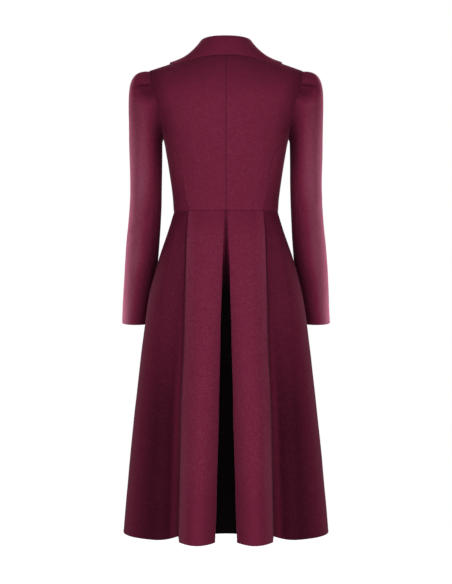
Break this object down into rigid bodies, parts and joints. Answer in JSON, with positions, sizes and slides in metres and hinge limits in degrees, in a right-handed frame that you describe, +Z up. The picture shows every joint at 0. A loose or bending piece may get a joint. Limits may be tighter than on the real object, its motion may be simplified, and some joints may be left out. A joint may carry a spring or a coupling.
{
  "type": "long flared coat",
  "caption": "Fitted wool coat with a wide collar, full sleeve heads, a seamed waist and a long flared skirt with a deep inverted pleat at the back, hollow as if worn",
  "frame": {"origin": "Middle of the neck opening, level with the points where the shoulder seams meet the collar. The wearer's shoulders hold the coat here.", "axes": "+Z up towards the collar, -Y to the front of the coat, +Y to its back, +X to its left side"},
  "size_m": [0.535, 0.362, 1.224],
  "materials": {
    "wine_wool": "brushed wool with a soft nap",
    "horn_button": "polished"
  },
  "bodies": {
    "root": {"back_bodice_left": "wine_wool", "back_bodice_right": "wine_wool", "side_back_bodice_left": "wine_wool", "side_back_bodice_right": "wine_wool", "front_bodice_left": "wine_wool", "front_bodice_right": "wine_wool", "lapel_left": "wine_wool", "lapel_right": "wine_wool", "upper_sleeve_left": "wine_wool", "upper_sleeve_right": "wine_wool", "under_sleeve_left": "wine_wool", "under_sleeve_right": "wine_wool", "back_skirt_left": "wine_wool", "back_skirt_right": "wine_wool", "side_skirt_left": "wine_wool", "side_skirt_right": "wine_wool", "front_skirt_left": "wine_wool", "front_skirt_right": "wine_wool", "collar": "wine_wool", "pleat_underlay": "wine_wool", "button_1": "horn_button", "button_2": "horn_button", "button_3": "horn_button"}
  },
  "joints": []
}
